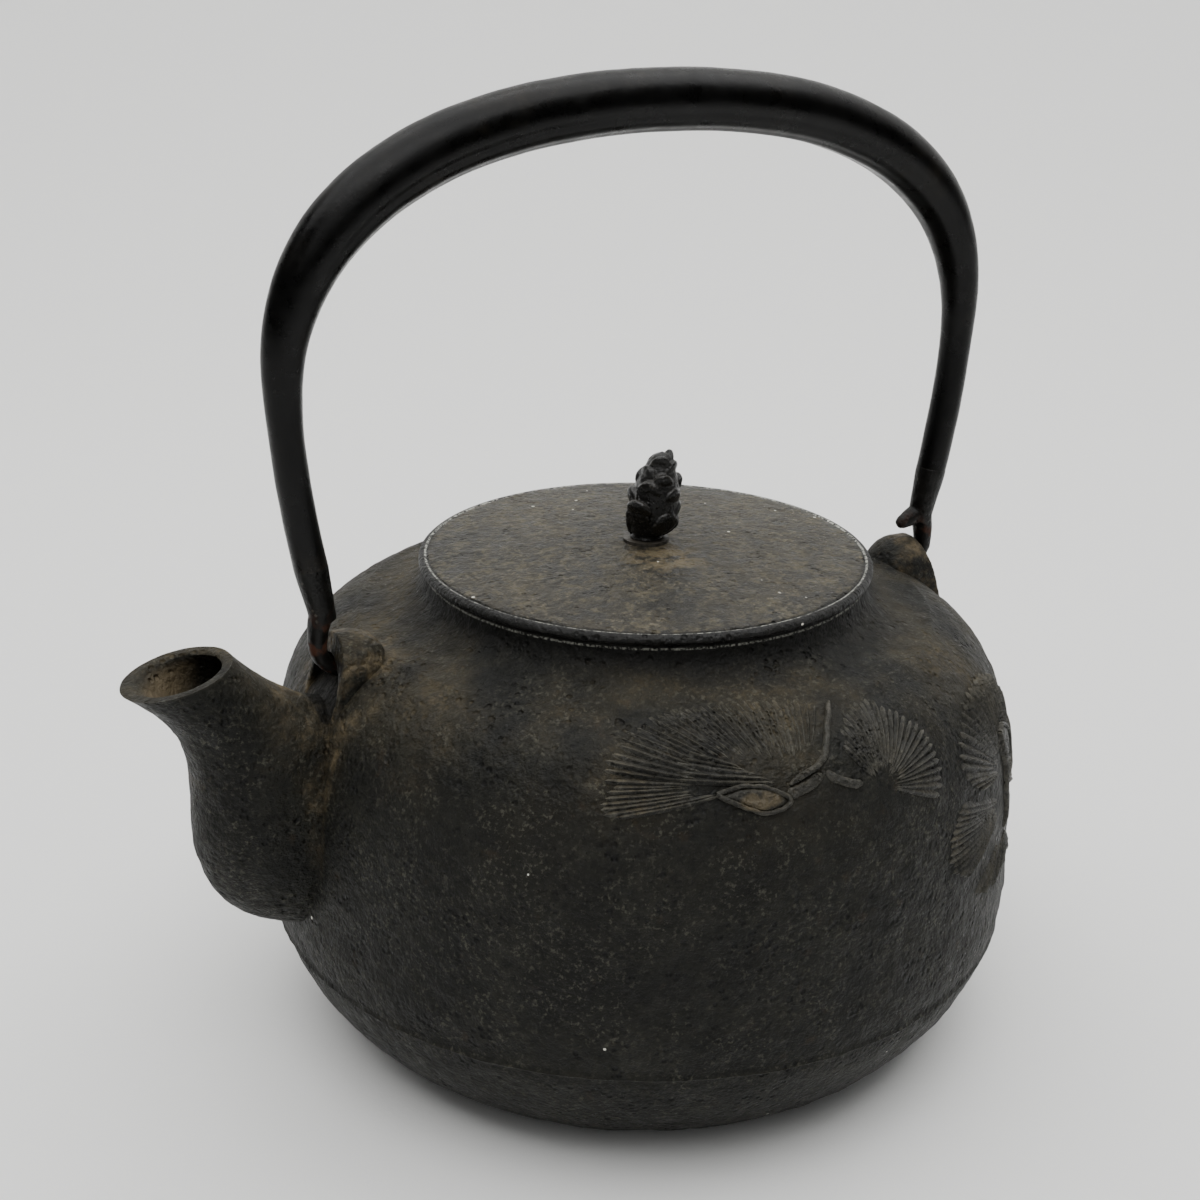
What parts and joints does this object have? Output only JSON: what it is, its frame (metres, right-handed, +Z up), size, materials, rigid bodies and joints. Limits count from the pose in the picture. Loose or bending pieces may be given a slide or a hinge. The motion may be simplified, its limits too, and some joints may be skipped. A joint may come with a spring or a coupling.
{
  "type": "cast iron teapot",
  "caption": "Round cast iron kettle-style teapot with short upright spout, flat lift-off lid, pine cone knob, raised pine branch relief and a tall hooked swing handle.",
  "frame": {"origin": "centre of the flat base, on the surface that the teapot stands on", "axes": "+Z up through the knob, -X through the spout, the upright handle in the XZ plane and swinging about X"},
  "size_m": [0.2187, 0.1824, 0.2274],
  "materials": {
    "cast_body": "rough sand-cast skin, dark brown-black with tan dust on the shoulder",
    "cast_lid": "rough, finely streaked skin with a smoother dark rim",
    "cast_knob": "dark matte with worn edges",
    "knob_fittings": "bare dull iron",
    "lacquered_handle": "satin black lacquer over forged iron",
    "forged_hook": "worn bare iron with light rust"
  },
  "bodies": {
    "pot": {"vessel": "cast_body", "spout": "cast_body", "lug_front": "cast_body", "lug_rear": "cast_body"},
    "bail": {"handle": "lacquered_handle", "handle_hook_front": "forged_hook", "handle_hook_rear": "forged_hook"},
    "lid_plate": {"lid": "cast_lid", "knob_seat": "knob_fittings"},
    "pine_knob": {"knob": "cast_knob", "knob_washer": "knob_fittings"}
  },
  "joints": [
    {"name": "handle_swing", "type": "hinge", "parent": "pot", "child": "bail", "pos_m": [0, 0, 0.1012], "axis": [1, 0, 0], "range_deg": [-75, 75]},
    {"name": "lid_lift", "type": "slide", "parent": "pot", "child": "lid_plate", "axis": [0, 0, 1], "range_m": [0, 0.06]},
    {"name": "knob_turn", "type": "hinge", "parent": "lid_plate", "child": "pine_knob", "pos_m": [0, 0, 0.12], "axis": [0, 0, 1], "continuous": true}
  ]
}
